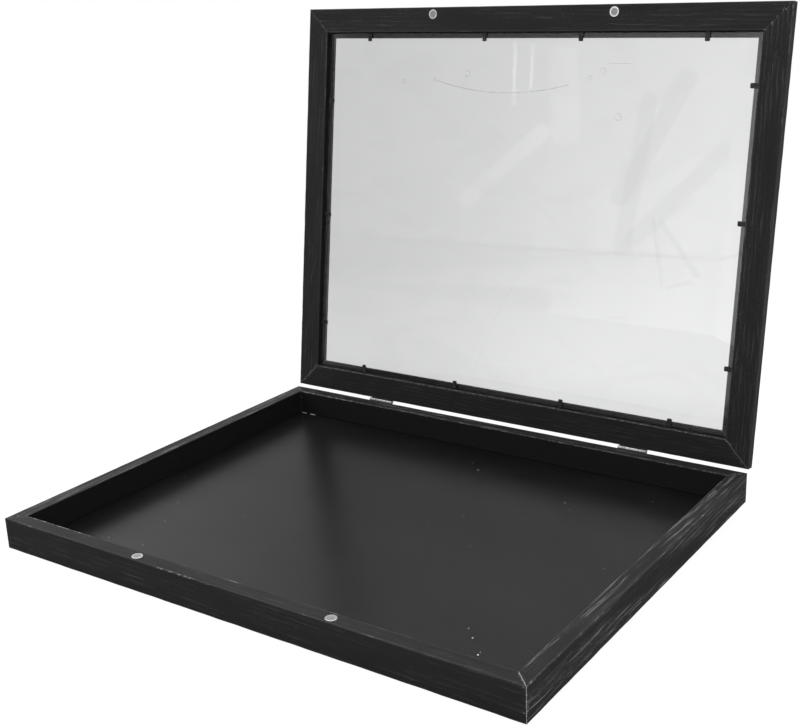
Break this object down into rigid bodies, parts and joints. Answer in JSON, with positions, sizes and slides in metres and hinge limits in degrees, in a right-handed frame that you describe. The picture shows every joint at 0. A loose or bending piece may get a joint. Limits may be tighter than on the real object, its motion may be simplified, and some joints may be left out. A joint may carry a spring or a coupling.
{
  "type": "jersey shadow box",
  "caption": "Shallow black wooden wall case for a folded jersey, with a hinged lid that frames a clear pane and shuts on magnets. It lies on its back with the lid open.",
  "frame": {"origin": "centre of the case's back, on the plane that a wall would touch", "axes": "+X along the hinge, towards the end that is uppermost on a wall; +Y from the lid's free edge to the hinge; +Z out of the back, into the case"},
  "size_m": [0.8, 0.7366, 0.6714],
  "materials": {
    "black_wood": "satin",
    "black_board": "satin",
    "clear_acrylic": "polished",
    "black_tab": "satin",
    "nickel": "gloss",
    "magnet_nickel": "satin",
    "zinc_steel": "satin"
  },
  "bodies": {
    "case": {"case_rail_front": "black_wood", "case_rail_back": "black_wood", "case_rail_left": "black_wood", "case_rail_right": "black_wood", "backing_board": "black_board", "board_pin_front_1": "zinc_steel", "board_pin_front_2": "zinc_steel", "board_pin_front_3": "zinc_steel", "board_pin_back_1": "zinc_steel", "board_pin_back_2": "zinc_steel", "board_pin_back_3": "zinc_steel", "board_pin_left_1": "zinc_steel", "board_pin_left_2": "zinc_steel", "board_pin_right_1": "zinc_steel", "board_pin_right_2": "zinc_steel", "hanger_front_plate": "zinc_steel", "hanger_front_screw_1": "zinc_steel", "hanger_front_screw_2": "zinc_steel", "hanger_back_plate": "zinc_steel", "hanger_back_screw_1": "zinc_steel", "hanger_back_screw_2": "zinc_steel", "magnet_case_1": "magnet_nickel", "magnet_case_2": "magnet_nickel", "hinge_left_pin": "nickel", "hinge_left_case_leaf": "nickel", "hinge_left_case_screw_1": "nickel", "hinge_left_case_screw_2": "nickel", "hinge_right_pin": "nickel", "hinge_right_case_leaf": "nickel", "hinge_right_case_screw_1": "nickel", "hinge_right_case_screw_2": "nickel"},
    "lid": {"lid_rail_free": "black_wood", "lid_rail_hinge": "black_wood", "lid_rail_left": "black_wood", "lid_rail_right": "black_wood", "clear_pane": "clear_acrylic", "hinge_left_lid_leaf": "nickel", "hinge_left_lid_screw_1": "nickel", "hinge_left_lid_screw_2": "nickel", "hinge_right_lid_leaf": "nickel", "hinge_right_lid_screw_1": "nickel", "hinge_right_lid_screw_2": "nickel", "magnet_lid_1": "magnet_nickel", "magnet_lid_2": "magnet_nickel", "glazing_tab_free_1": "black_tab", "glazing_tab_free_2": "black_tab", "glazing_tab_free_3": "black_tab", "glazing_tab_free_4": "black_tab", "glazing_tab_hinge_1": "black_tab", "glazing_tab_hinge_2": "black_tab", "glazing_tab_hinge_3": "black_tab", "glazing_tab_hinge_4": "black_tab", "glazing_tab_left_1": "black_tab", "glazing_tab_left_2": "black_tab", "glazing_tab_left_3": "black_tab", "glazing_tab_right_1": "black_tab", "glazing_tab_right_2": "black_tab", "glazing_tab_right_3": "black_tab"}
  },
  "joints": [
    {"name": "lid_hinge", "type": "hinge", "parent": "case", "child": "lid", "pos_m": [0, 0.3183, 0.0444], "axis": [-1, 0, 0], "range_deg": [-98, 82]}
  ]
}
